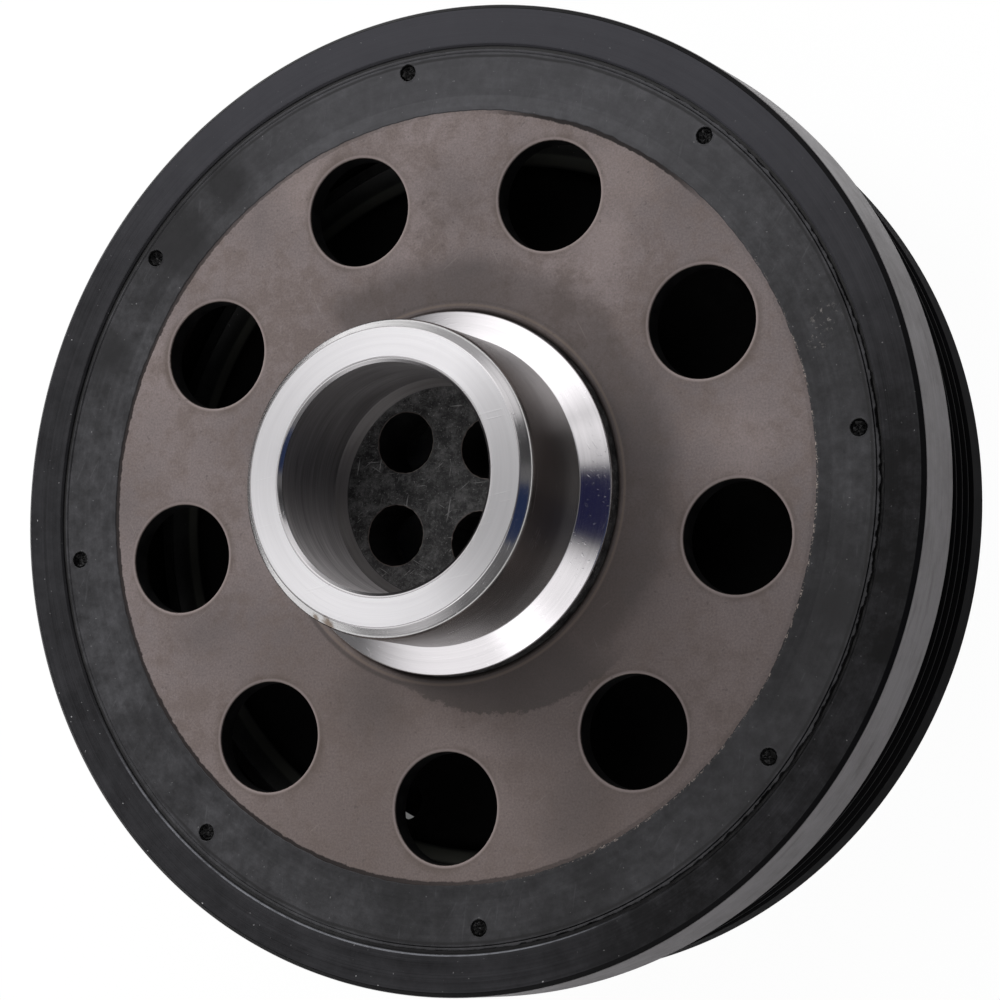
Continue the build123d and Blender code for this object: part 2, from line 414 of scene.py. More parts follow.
def turnedSteel(
    name, colour, rough, marks, tint=(0.5, 0.5, 0.5), grain=1.0, pull=0.75, scuffs=0.0, paintedShade=None, rust=()
):
    # bare steel off the lathe: fine rings, handling scratches and a breath of smear;
    # a shaded side given as (angle, inner, outer, level) is painted shade, standing for the darker reflection
    # on that side; rust has (x, y, reach) of brown spots
    material, tree, shader = newMaterial(name)
    fine = cloud(tree, 1, 2, 0.6, turnedVector(tree, 1.3, 9.0 * grain))
    broad = cloud(tree, 1, 2, 0.5, turnedVector(tree, 0.9, 1.1 * grain))
    smear = cloud(tree, 120, 4, 0.6)
    both = timesPlus(tree, broad, 0.5, times(tree, fine, 0.5))
    body = blendColour(tree, marks, colour, ramp(tree, both, ((0.3, tint), (0.7, (1, 1, 1)))), "MULTIPLY")
    nicks = scratches(tree, (12, 71, 128), 1900, 20, 0.71)
    body = tinted(tree, body, nicks, scuffs, (0.97, 0.97, 0.97))
    # painted shade: one side darkened to stand for a darker reflection there
    if paintedShade:
        angle, inner, outer, level = paintedShade
        paintedDarkening = timesPlus(tree, sideMask(tree, angle, inner, outer), level - 1, 1)
        body = vectorCalc(tree, "SCALE", body, paintedDarkening)
    for place in rust:
        spot = spotMask(tree, place, (-0.6, 0.2), 0.85, cloud(tree, 600, 4, 0.7), 1.6)
        body = blendColour(tree, spot, body, (0.17, 0.115, 0.075))
    shader.inputs["Anisotropic"].default_value = pull
    shader.inputs["Anisotropic Rotation"].default_value = 0.25
    grooves = tree.nodes.new("ShaderNodeTangent")
    grooves.direction_type = "RADIAL"
    grooves.axis = "Z"
    plug(tree, grooves.outputs[0], shader.inputs["Tangent"])
    blurred = timesPlus(tree, smear, 0.1, timesPlus(tree, fine, 0.12, rough - 0.11))
    dress(tree, shader, body, blurred, bump(tree, nicks, 0.3, 0.02, bump(tree, fine, 0.3, 0.01)), 1.0)
    return material


# painted shade darkens the nose face on the right
faceSteel = turnedSteel(
    "turned_face_steel", (0.97, 0.965, 0.97), 0.36, 0.22, pull=0.65, scuffs=0.3, paintedShade=(-5, 12, 65, 0.67)
)
rustSpots = ((-11.0, -27.3, 1.9), (-13.6, -25.8, 1.0))
chamferSteel = turnedSteel("turned_chamfer_steel", (0.62, 0.61, 0.61), 0.17, 0.35, pull=0.3, rust=rustSpots)
collarSteel = turnedSteel("collar_steel", (0.725, 0.71, 0.715), 0.13, 0.25, pull=0.3, scuffs=0.12)
# painted shade darkens the journal on the right
journalSteel = turnedSteel(
    "journal_steel", (0.39, 0.37, 0.36), 0.24, 0.5, (0.45, 0.43, 0.41), 0.7, paintedShade=(0, 6, 34, 0.58)
)
# painted shade: darker steel where the bore wall meets the floor
cornerSteel = turnedSteel("bore_corner_steel", (0.30, 0.29, 0.285), 0.5, 0.6, (0.4, 0.38, 0.37), 0.5)
# painted shade darkens the bore wall on the far left
boreSteel = turnedSteel(
    "bore_steel", (0.9, 0.87, 0.87), 0.46, 0.75, (0.28, 0.27, 0.27), 0.35, paintedShade=(125, 30, 105, 0.4)
)


def scuffedBlack(name, colour, pale, rough, speckle=0.5, gloss=0.4):
    # black coat over steel, rubbed and scratched down to a dull grey
    material, tree, shader = newMaterial(name)
    blotch = patchy(tree, 330, 8, 0.85, 0.44, 0.66)
    speck = patchy(tree, 2200, 3, 0.7, 0.6, 0.7)
    marks = scratches(tree, (4, 38, 82, 150), 2300, 14, 0.715)
    worn = timesPlus(tree, speck, speckle * 0.7, times(tree, blotch, 0.38))
    worn = timesPlus(tree, marks, speckle * 0.6, worn)
    body = blendColour(tree, worn, colour, pale)
    grain = bump(tree, cloud(tree, 900, 3, 0.6), 0.4, 0.05)
    dress(tree, shader, body, timesPlus(tree, blotch, 0.2, rough), grain, 0.2, gloss)
    return material


floorCoat = scuffedBlack("scuffed_floor", (0.008, 0.008, 0.008), (0.30, 0.30, 0.295), 0.38, 0.9)
innerCoat = scuffedBlack("inner_coat", (0.004, 0.004, 0.0042), (0.03, 0.03, 0.03), 0.5, 0.2, 0.15)
carrierCoat = scuffedBlack("carrier_coat", (0.0015, 0.0015, 0.0015), (0.008, 0.008, 0.0075), 0.6, 0.3, 0.08)
sleeveCoat = scuffedBlack("sleeve_coat", (0.011, 0.0115, 0.011), (0.04, 0.042, 0.04), 0.45, 0.3, 0.3)


webHoles = {"count": 9, "pitch": 60.3, "radius": 10.76, "phase": 111.26}
webLook = {
    "pale": (0.186, 0.154, 0.149),
    "deep": (0.116, 0.097, 0.094),
    "brown": (0.106, 0.083, 0.074),
    "bright": (0.215, 0.178, 0.170),
    "stain": (0.040, 0.0335, 0.031),
    "rust": (0.060, 0.044, 0.034),
    "seam": (0.005, 0.0025, 0.002),
    "pit": (0.05, 0.042, 0.038),
    "rub": (0.3, 0.27, 0.25),
    "worn": (0.16, 0.125, 0.10),
    "haloRadius": 48.0,  # soft stain round the collar, on the far and right sides, mm
    "tornCentre": (11.0, -6.0),  # darker stain with a torn edge below the collar, mm
    "tornRadius": 36.4,
    "collarShadeRadius": 35.4,  # three thin lines beside the collar: painted shade in the crease at its foot, a worn line and a stain line, mm
    "wornRadius": 36.75,
    "stainedRadius": 37.5,
    "seamRadius": 74.75,
    "smudges": (  # x, y, reach in mm, share, and which colour
        (-1.3, 56.4, 12.0, 0.3, "stain"),
        (-52.8, -24.4, 12.0, 0.3, "stain"),
        (-15.0, -39.5, 11.0, 0.3, "stain"),
        (34.0, -44.0, 11.0, 0.3, "stain"),
        (30.0, -62.0, 12.0, 0.25, "stain"),
        (58.0, 7.5, 12.0, 0.3, "bright"),
        (33.0, 60.0, 15.0, 0.5, "bright"),
        (-34.0, 61.0, 12.0, 0.5, "bright"),
        (31.7, 47.5, 8.0, 0.6, "bright"),
        (2.0, -56.0, 14.0, 0.3, "bright"),
    ),
}


def webStain(tree, look, mist, radius):
    # share of the stain round the collar: soft on one side, darker with a torn edge on the other, with
    # painted shade in the crease at the collar's foot
    reach = look["haloRadius"]
    ragged = timesPlus(tree, mist, -11.0, radius)
    halo = spread(tree, ragged, reach - 11.0, reach - 4.2, 0.5, 0.0)
    halo = times(tree, halo, sideMask(tree, 40, 84, 89))
    halo = times(tree, halo, timesPlus(tree, sideMask(tree, 2, 20, 60), 0.15, 1.0))
    reach = look["tornRadius"]
    torn = timesPlus(tree, cloud(tree, 420, 5, 0.8), -4.0, radiusFrom(tree, look["tornCentre"]))
    deep = spread(tree, torn, reach - 2.3, reach - 1.9, 0.7, 0.0)
    deep = times(tree, deep, sideMask(tree, -73, 20, 38))
    # painted shade in the crease where the collar meets the web's bore, in the stain colour
    gap = spread(tree, radius, look["collarShadeRadius"], look["collarShadeRadius"] + 0.5, 1.0, 0.0)
    line = times(tree, ringMask(tree, look["stainedRadius"], 0.15, 0.5, radius), 0.6)
    for mask in (deep, gap, line):
        halo = calc(tree, "MAXIMUM", halo, mask)
    return halo


def webFinish(look, holes):
    # warm grey phosphate coat: clouded, finely grained, stained round the collar and the holes
    material, tree, shader = newMaterial("phosphated_steel")
    radius = radiusFrom(tree)
    drift = cloud(tree, 30, 5, 0.62)
    body = ramp(tree, drift, ((0.36, 0.0), (0.64, 1.0)))
    body = blendColour(tree, body, look["deep"], look["pale"])
    patches = patchy(tree, 120, 6, 0.72, 0.45, 0.6)
    body = tinted(tree, body, patches, 0.7, look["brown"])
    body = tinted(tree, body, sideMask(tree, -80, 28, 80), 0.6, look["brown"])
    mist = cloud(tree, 75, 6, 0.72)
    for x, y, reach, share, colour in look["smudges"]:
        spot = spotMask(tree, (x, y, reach), (-0.7, 0.25), share, mist, 1.6)
        body = blendColour(tree, spot, body, look[colour])
    grain = ramp(tree, cloud(tree, 2300, 2, 0.75), ((0.3, 0.8), (0.7, 1.15)))
    body = blendColour(tree, 1.0, body, grain, "MULTIPLY")
    body = blendColour(tree, webStain(tree, look, mist, radius), body, look["stain"])
    body = tinted(tree, body, ringMask(tree, look["wornRadius"], 0.1, 0.3, radius), 0.45, look["worn"])
    # each hole has a rusty shade round it and a paler rolled edge, partly worn metal and partly a painted
    # highlight on the roll
    near = holeDistance(tree, holes)
    shade = timesPlus(tree, cloud(tree, 90, 4, 0.7), -5.0, near)
    edge = holes["radius"]
    body = blendColour(tree, spread(tree, shade, edge - 2.9, edge - 0.6, 0.6, 0.0), body, look["rust"])
    body = blendColour(tree, spread(tree, near, edge + 0.3, edge + 0.8, 0.75, 0.0), body, look["bright"])
    pits = patchy(tree, 900, 1, 0.5, 0.73, 0.77)
    body = tinted(tree, body, pits, 0.4, look["pit"])
    body = tinted(tree, body, scratches(tree, (38, 118), 1500, 16, 0.76), 0.12, look["rub"])
    # rusty dark line where the rubber starts, strong on the left, below and at the upper right
    nicked = timesPlus(tree, cloud(tree, 700, 3, 0.7), 0.9, radius)
    line = spread(tree, nicked, look["seamRadius"] - 0.25, look["seamRadius"])
    strong = timesPlus(tree, sideMask(tree, 205, 40, 120), 0.85, 0.1)
    strong = calc(tree, "MAXIMUM", strong, sideMask(tree, 66, 10, 22))
    body = tinted(tree, body, line, strong, look["seam"])
    small = bump(tree, cloud(tree, 2100, 2, 0.6), 0.3, 0.025)
    dress(tree, shader, body, timesPlus(tree, drift, 0.2, 0.46), bump(tree, drift, 0.2, 0.4, small), 0.1)
    return material


webSteel = webFinish(webLook, webHoles)
rimSteel = turnedSteel("hole_rim_steel", (0.25, 0.215, 0.195), 0.45, 0.6, (0.4, 0.36, 0.33), 2.0, pull=0.0)
boltRimSteel = turnedSteel("bolt_rim_steel", (0.17, 0.15, 0.14), 0.45, 0.6, (0.4, 0.36, 0.33), 2.0, pull=0.0)


skinMarks = {
    "crumbs": (75.0, -22.0, (0.40, 0.34, 0.30)),  # pale crumbs beside the web: radius, side, colour
    "grit": ((76.0, 31.0, 4.0), (74.5, 27.0, 3.0)),  # x, y and reach, mm
    "gritColour": (0.30, 0.28, 0.26),
    "smudges": ((-64.0, 53.0, 9.0), (-52.0, 64.0, 6.0), (-78.0, 30.0, 5.0), (79.0, -22.0, 6.0)),
    "smudgeColour": (0.005, 0.005, 0.0055),
    "paintedLightFarColour": (0.06, 0.06, 0.065),  # painted light: paler on the far side
    "paintedShadeNearColour": (0.006, 0.006, 0.0065),  # painted shade: darker on the near right side
    "lipLine": (86.2, (0.003, 0.003, 0.003)),  # dark line beside the moulded lip: radius, colour
}


def marked(tree, body, scuff, marks):
    # the marks of use on the damper rubber's skin, with painted light on the far side and painted shade on
    # the near right side
    radius = radiusFrom(tree)
    ringRadius, side, colour = marks["crumbs"]
    crumbs = patchy(tree, 1700, 3, 0.7, 0.53, 0.62)
    crumbs = times(tree, crumbs, ringMask(tree, ringRadius, 0.1, 0.35, radius))
    body = tinted(tree, body, times(tree, crumbs, sideMask(tree, side, 25, 65)), 0.8, colour)
    grains = patchy(tree, 1000, 3, 0.7, 0.56, 0.66)
    for place in marks["grit"]:
        grit = times(tree, spotMask(tree, place, (0.3, 1.0)), grains)
        body = tinted(tree, body, grit, 0.45, marks["gritColour"])
    # painted light makes the far side paler
    body = tinted(tree, body, sideMask(tree, 84, 15, 55), 0.35, marks["paintedLightFarColour"])
    for place in marks["smudges"]:
        spot = spotMask(tree, place, (0.0, 1.0), 0.8, scuff, 0.7)
        body = blendColour(tree, spot, body, marks["smudgeColour"])
    # painted shade darkens the near right side
    body = tinted(tree, body, sideMask(tree, -45, 45, 90), 0.25, marks["paintedShadeNearColour"])
    # a dark line along the moulded step beside the lip, strongest on the left
    ringRadius, colour = marks["lipLine"]
    uneven = timesPlus(tree, cloud(tree, 120, 3, 0.6), 0.8, radius)
    strong = spread(tree, sideMask(tree, 180, 25, 55), 0.0, 1.0, 0.7, 0.1)
    return tinted(tree, body, ringMask(tree, ringRadius, 0.12, 0.3, uneven), strong, colour)


def rubberFinish(name, colour, pale, rough, dustLevel=0.3, brownRing=None, marks=None):
    # moulded rubber: dull skin, rubbed paler in streaks that follow the ring, with dust
    material, tree, shader = newMaterial(name)
    streak = patchy(tree, 1, 4, 0.6, 0.4, 0.8, turnedVector(tree, 3.0, 1.1))
    scuff = patchy(tree, 60, 7, 0.78, 0.38, 0.62)
    mottle = ramp(tree, cloud(tree, 330, 5, 0.75), ((0.32, 0.55), (0.68, 1.5)))
    dust = patchy(tree, 1500, 1, 0.5, 0.76, 0.8)
    rubs = times(tree, scratches(tree, (62, 84), 1500, 12, 0.72), 0.3)
    worn = timesPlus(tree, streak, 0.25, timesPlus(tree, scuff, 0.6, rubs))
    body = blendColour(tree, 1.0, blendColour(tree, worn, colour, pale), mottle, "MULTIPLY")
    body = tinted(tree, body, dust, dustLevel, (0.3, 0.3, 0.3))
    if brownRing:
        body = blendColour(tree, ringMask(tree, *brownRing), body, (0.055, 0.056, 0.048))
    if marks:
        body = marked(tree, body, scuff, marks)
    grain = bump(tree, cloud(tree, 1100, 3, 0.6), 0.3, 0.05)
    grain = bump(tree, cloud(tree, 90, 3, 0.5), 0.25, 0.3, grain)
    dress(tree, shader, body, timesPlus(tree, scuff, 0.15, rough), grain)
    return material


damperSkin = rubberFinish(
    "damper_rubber_skin", (0.0085, 0.0085, 0.0096), (0.044, 0.044, 0.047), 0.45, marks=skinMarks
)
tornRubber = rubberFinish("torn_rubber", (0.002, 0.002, 0.002), (0.02, 0.02, 0.02), 0.32, 0.0)
couplingSkin = rubberFinish(
    "coupling_rubber_skin", (0.008, 0.008, 0.0076), (0.02, 0.0205, 0.019), 0.5, 0.3, (69.6, 0.9, 0.7)
)


ringLook = {
    "deep": (0.007, 0.007, 0.0078),
    "pale": (0.024, 0.024, 0.0262),
    "dust": (0.5, 0.5, 0.5),
    "dustyRadius": 94.2,  # more dust gathers beside the rim, mm
    "oil": (0.001, 0.001, 0.001),
    # painted light: the colour of the paler far side
    "far": (0.044, 0.044, 0.051),
    "bare": (0.36, 0.37, 0.40),
    "cornerRadius": 88.06,  # the inner corner, mm
}


def ringFaceFinish(look):
    # dark coat over the turned rear face, with rings from the lathe and specks of dust
    material, tree, shader = newMaterial("coated_iron")
    radius = radiusFrom(tree)
    lines = cloud(tree, 1, 3, 0.65, turnedVector(tree, 1.6, 5.0))
    broad = cloud(tree, 1, 2, 0.5, turnedVector(tree, 1.2, 0.7))
    smudge = cloud(tree, 130, 6, 0.75)
    tone = timesPlus(tree, lines, 0.35, times(tree, broad, 0.2))
    tone = timesPlus(tree, smudge, 0.45, tone)
    body = ramp(tree, tone, ((0.38, look["deep"]), (0.62, look["pale"])))
    dust = patchy(tree, 1300, 1, 0.5, 0.755, 0.785)
    edge = timesPlus(tree, ringMask(tree, look["dustyRadius"], 0.6, 1.5, radius), 0.3, 0.2)
    body = tinted(tree, body, dust, edge, look["dust"])
    # oily dark smears on the near right side, and painted light that makes the far side paler
    oily = patchy(tree, 75, 8, 0.8, 0.38, 0.58)
    oily = times(tree, oily, sideMask(tree, -28, 22, 55))
    body = tinted(tree, body, oily, 0.9, look["oil"])
    body = tinted(tree, body, sideMask(tree, 85, 20, 75), 0.6, look["far"])
    # bare metal shows on the inner corner, on the near left side: partly worn coat and partly a painted
    # highlight along the rounded corner
    side = times(tree, sideMask(tree, -108, 22, 46), 0.6)
    bare = times(tree, ringMask(tree, look["cornerRadius"], 0.06, 0.14, radius), side)
    bare = times(tree, bare, ramp(tree, cloud(tree, 330, 3, 0.7), ((0.35, 0.35), (0.6, 1.0))))
    body = blendColour(tree, bare, body, look["bare"])
    dress(tree, shader, body, timesPlus(tree, smudge, 0.3, 0.28), bump(tree, lines, 0.5, 0.03), bare, 0.17)
    return material


def bandFinish():
    # bare grey rim of the ring, with cloudy stains and fine turning lines
    material, tree, shader = newMaterial("bare_rim_iron")
    lines = cloud(tree, 1, 2, 0.6, turnedVector(tree, 1.5, 6.0))
    stain = patchy(tree, 60, 6, 0.74, 0.42, 0.7)
    body = ramp(tree, lines, ((0.3, (0.135, 0.129, 0.130)), (0.7, (0.195, 0.187, 0.189))))
    body = tinted(tree, body, stain, 0.5, (0.105, 0.098, 0.095))
    swipes = patchy(tree, 1, 4, 0.7, 0.55, 0.72, turnedVector(tree, 7.0, 0.5))
    body = tinted(tree, body, swipes, 0.75, (0.08, 0.074, 0.072))
    dress(tree, shader, body, timesPlus(tree, stain, 0.12, 0.4), bump(tree, lines, 0.35, 0.02), 0.35)
    return material


def coatFinish(name, colour, edge, gloss):
    # smooth black electrocoat with slight orange peel, paler on the rib crests, partly wear and partly a
    # painted highlight
    material, tree, shader = newMaterial(name)
    crestWearAndSheen = times(tree, spread(tree, radiusFrom(tree), 91.7, 92.05), edge)
    soft = cloud(tree, 70, 3, 0.6)
    body = blendColour(tree, crestWearAndSheen, colour, (0.012, 0.012, 0.013))
    body = tinted(tree, body, soft, 0.3, (0.006, 0.006, 0.0065))
    peel = bump(tree, cloud(tree, 420, 2, 0.5), 0.15, 0.08)
    dress(tree, shader, body, timesPlus(tree, soft, 0.2, 0.35), peel, gloss=gloss)
    return material


ringCoat = ringFaceFinish(ringLook)
bareBand = bandFinish()
beltCoat = coatFinish("belt_coat", (0.0012, 0.0012, 0.0014), 0.12, 0.03)
edgeCoat = coatFinish("edge_coat", (0.0016, 0.0016, 0.002), 0.0, 0.08)
dishCoat = scuffedBlack("dish_coat", (0.02, 0.02, 0.0205), (0.07, 0.07, 0.068), 0.42, 0.3, 0.4)
print("finishes ready")


hubFront, noseFace = nodeSpan("hub")[1:]
hub = {
    "journal": 30.0,
    "journalFoot": 29.9,
    "bore": 21.6,
    "face": (22.6, 27.9),  # flat of the nose's end
    "collar": 35.16,
    "coneTop": webFace + 5.35,
    "coneFoot": webFace + 2.45,
    "flange": (40.0, webFace - 4.5, webFace - 9.5),  # radius, top and underside
    "floor": webFace + 3.0,
    "floorRadius": 20.3,
    "floorCentre": 4.0,
    "recess": (23.0, webFace - 9.0),  # radius and floor
    "spigot": (32.0, 28.0),  # outer radius behind and in front of the carrier
    "mouth": 24.5,
    "bolts": {"count": 4, "pitch": 12.76, "radius": 5.8, "phase": 40.24},
}


def noseProfiles(h):
    # from the bore's floor out and down to the web, each with the number of its finish
    face, floor, bore, edge = noseFace, h["floor"], h["bore"], h["floorRadius"]
    journal, foot, collar = h["journal"], h["journalFoot"], h["collar"]
    coneTop, coneFoot = h["coneTop"], h["coneFoot"]
    inner, outer = h["face"]
    corner = [(edge, floor), (edge, floor + 0.12), (edge + 0.1, floor + 0.34)]
    runOut = [(edge + 0.1, floor + 0.34), (edge + 0.2, floor + 0.6), (bore, floor + 3.1)]
    relief = bore + 0.06
    wall = [(bore, floor + 3.1), (bore, floor + 5.0), (bore, face - 12), (relief, face - 11.7)]
    wall += [(relief, face - 6.0), (bore, face - 5.7), (bore, face - 0.8)]
    mouth = roundedProfile([(bore, face - 0.8), (bore, face - 0.64), (bore + 0.62, face, 0.1), (inner, face)])
    end = [(inner, face), (inner + 1.4, face), (outer - 1.9, face), (outer, face)]
    chamfer = [(outer, face), (outer + 0.16, face - 0.02), (outer + 0.28, face - 0.1)]
    chamfer += [(journal - 0.6, face - 1.32), (journal - 0.38, face - 1.56), (journal - 0.22, face - 1.8)]
    barrel = [chamfer[-1], (journal - 0.08, face - 2.2), (journal, face - 2.8), (journal, face - 9)]
    barrel += [(journal, coneTop + 6), (journal, coneTop + 0.55)]
    barrel += [(foot - 0.04, coneTop + 0.3), (foot, coneTop + 0.04)]
    cone = [barrel[-1], (foot + 0.15, coneTop), (collar - 0.21, coneFoot)]
    cone += [(collar - 0.06, coneFoot - 0.13), (collar, coneFoot - 0.35)]
    return (corner, 1), (runOut, 8), (wall, 3), (mouth, 1), (end, 0), (chamfer, 1), (barrel, 2), (cone, 4)


def buildHub(h):
    bm = bmesh.new()
    bolts, floor = h["bolts"], h["floor"]
    sides, half = 48, math.pi / bolts["count"]
    angles = evenAngles(sides * bolts["count"], bolts["phase"] - math.degrees(half))
    for profile, finish in noseProfiles(h):
        spinStrip(bm, profile, angles, finish)
    flange, seat, under = h["flange"]
    spigot, front = h["spigot"]
    recess, recessFloor = h["recess"]
    carrierTop = nodeSpan("coupling_carrier")[2]
    back = [(h["collar"], h["coneFoot"] - 0.35), (h["collar"], seat), (flange, seat), (flange, under)]
    back += [(spigot + 0.5, under), (spigot + 0.15, under - 0.15), (spigot, under - 0.5)]
    back += [(spigot, carrierTop), (front, carrierTop), (front, hubFront)]
    back += [(h["mouth"], hubFront), (recess + 0.5, hubFront + 1.0)]
    back += [(recess + 0.5, recessFloor - 0.5), (recess + 0.35, recessFloor - 0.15), (recess, recessFloor)]
    spinStrip(bm, back + [(h["floorRadius"], recessFloor)], angles, 5)
    # floor quarters, each with its bolt hole
    burr = lambda a: (0.05 * wobble(a, 2.0, 6), 0.03 * wobble(a, 8.0, 6))
    depth = floor - recessFloor
    rim = ((0.24, 0.0), (0.14, -0.03, burr), (0.03, 0.1, burr), (0.0, 0.3), (0.0, depth - 0.3), (0.25, depth))
    centre, ring = (0.0, h["floorCentre"]), (h["floorCentre"], h["floorRadius"])
    middles = evenAngles(bolts["count"], bolts["phase"])
    for middle, span in zip(middles, holeSpans(middles, half, sides)):
        piercedPatch(bm, bolts, middle, ring, span, sides, floor, rim, 5, (6, 6, 7, 7, 7))
        piercedPatch(bm, bolts, middle, ring, span, sides, recessFloor, ((0.25, 0.0),), 5, up=False)
        plainPatch(bm, centre, span, 1, floor, 5)
        plainPatch(bm, centre, span, 1, recessFloor, 5, up=False)
    finishes = (faceSteel, chamferSteel, journalSteel, boreSteel, collarSteel)
    finishes += (floorCoat, boltRimSteel, innerCoat, cornerSteel)
    makePiece(bm, "hub_turned", finishes, "hub")


buildHub(hub)


web = {
    "bore": 35.2,
    "thick": 4.5,
    "bend": 5.0,
    "flat": (44.0, 72.5),  # the ring that holds the holes
    "holes": webHoles,
}


def buildWeb(w):
    bm = bmesh.new()
    holes, thick, bore = w["holes"], w["thick"], w["bore"]
    low, wall = webFace - thick, webRim - thick
    sides, half = 32, math.pi / holes["count"]
    angles = evenAngles(sides * holes["count"], holes["phase"] - math.degrees(half))
    inner, outer = w["flat"]
    mouth = [(bore, low), (bore, webFace - 0.7), (bore + 0.6, webFace - 0.12), (bore + 0.9, webFace)]
    spinStrip(bm, mouth + [(37.5, webFace), (40.0, webFace), (inner, webFace)], angles)
    edge = quarterBend(webRim - w["bend"], webFace, w["bend"])
    edge += [(webRim, webEnd), (wall, webEnd), (wall, low - 0.5), (wall - 0.15, low - 0.15)]
    spinStrip(bm, [(outer, webFace)] + edge + [(wall - 0.5, low), (outer, low)], angles)
    spinStrip(bm, [(inner, low), (bore, low)], angles)
    # rolled-over edge, then the sheared wall of each hole, near-black with the inner coat as painted shade
    # down the hole
    roll = ((0.5, 0.0), (0.3, 0.02), (0.13, 0.08), (0.03, 0.2), (0.0, 0.4))
    shear = ((0.12, 0.0), (0.0, -0.1), (0.0, 0.4 - thick))
    middles = evenAngles(holes["count"], holes["phase"])
    for middle, span in zip(middles, holeSpans(middles, half, sides)):
        piercedPatch(bm, holes, middle, w["flat"], span, sides, webFace, roll, 0, (0, 0, 1, 1))
        piercedPatch(bm, holes, middle, w["flat"], span, sides, low, shear, 0, (2, 2), up=False)
    makePiece(bm, "web_pressed", (webSteel, rimSteel, innerCoat), "web_disc")


buildWeb(web)


damper = {
    "skinStart": (74.9, webFace - 0.06),  # where the flash lies on the web's bend: radius and height
    "lipOuter": 87.1,
    "band": (80.6, 86.35),  # the ring that holds the gates
    "gates": {"count": 8, "pitch": 83.7, "radius": 1.65, "phase": 7.9},
    "drift": (-0.7, -0.3, 0.4, 1.2, 0.1, -0.7, -1.7, 0.4),  # degrees that each gate lies off an even spacing
    "offCentre": (0.65, 115.0),  # the gates' circle lies off the axis: mm, towards degrees
    "tearSide": -15.0,  # the middle of the side where the lip is torn, in degrees
}


def buildDamperRubber(d):
    bm = bmesh.new()
    ringBore, bottom, top = nodeSpan("damper_rubber")
    gates, band = d["gates"], d["band"]
    sides, half, steps = 20, math.radians(2.6), 150  # a gate's patch, and the steps to the next
    lean, leanAngle = d["offCentre"]
    even = evenAngles(gates["count"], gates["phase"])
    middles = [a + math.radians(drift) for a, drift in zip(even, d["drift"])]
    spans, gaps = holeSpans(middles, half, sides), gapSpans(middles, half, steps)
    angles = [a for span, gap in zip(spans, gaps) for a in span[:-1] + gap[:-1]]
    # thin flash over the web's bend, then the flat skin
    flash = lambda a: (0.08 * wobble(a, 3.0, 45) + 0.1 * wobble(a, 5.0, 6), 0)
    start = (*d["skinStart"], flash)
    skin = [start, (75.05, webFace + 0.05, flash), (75.7, webFace + 0.03), (76.6, webFace - 0.1)]
    spinStrip(bm, skin + [(78.0, top), (band[0], top)], angles)
    # the lip and the crack beside the ring, open and ragged on the torn side, nearly closed elsewhere
    side = lambda a: max(0.0, math.cos(a - math.radians(d["tearSide"])))
    tear = lambda a: ((0.03 + 0.2 * side(a)) * (wobble(a, 9.0, 45) + 0.6 * wobble(a, 4.0, 170)), 0)
    slope = lambda a: (0, 0.22 * (1 - side(a)))
    groove = lambda a: (0, 0.42 * (1 - side(a)))
    crack = lambda a: (0, 0.62 * (1 - side(a) ** 0.5))
    out = d["lipOuter"]
    lip = [(band[1], top), (out - 0.68, top - 0.3, slope), (out - 0.6, top - 0.62, groove)]
    lip += [(out - 0.5, top - 0.1), (out - 0.3, top), (out - 0.08, top - 0.03, tear), (out, top - 0.15, tear)]
    spinStrip(bm, lip, angles)
    spinStrip(bm, [lip[-1], (out + 0.02, top - 0.95, crack), (ringBore, top - 1.0, crack)], angles, 1)
    # hidden sides, down the ring's bore and back up under the web's bend
    hidden = [(ringBore, top - 1.0, crack), (ringBore, bottom), (84.0, bottom + 0.5), (webRim, bottom)]
    hidden += quarterBend(webRim - web["bend"], webFace, web["bend"], 4)[:0:-1]
    spinStrip(bm, hidden + [start], angles)
    # each gate is a shallow blind hole with a torn stump of rubber in it
    burr = lambda a: (0.07 * wobble(a, 5.0, 7), 0.03 * wobble(a, 3.0, 5))
    stump = [(0.34, 0.0), (0.16, -0.05, burr), (0.04, 0.02, burr), (-0.02, 0.5), (-0.08, 0.85)]
    for k, (radius, drop) in enumerate(((-0.4, 0.5), (-0.75, 0.75), (-1.1, 0.4), (-1.4, 0.6))):
        lump = lambda a, k=k: (0.1 * wobble(a, 1.0 + k, 3), 0.42 * wobble(a, 6.0 + 2 * k, 2.6))
        stump.append((radius, drop, lump))
    for middle, span, gap in zip(middles, spans, gaps):
        gate = dict(gates, pitch=gates["pitch"] + lean * math.cos(middle - math.radians(leanAngle)))
        last = piercedPatch(bm, gate, middle, band, span, 4, top, stump, 0, (0, 0) + (1,) * 6)
        bm.faces.new(last).material_index = 1
        plainPatch(bm, band, gap, 4, top)
    makePiece(bm, "damper_rubber_moulded", (damperSkin, tornRubber), "damper_rubber")


buildDamperRubber(damper)


ring = {
    "bore": 87.8,
    "chamfer": 0.9,
    "flangeTop": 36.6,
    "shelf": (33.6, 81.0),  # height and inner radius of the step under the flange
    "barrel": (77.995, 83.995),
}


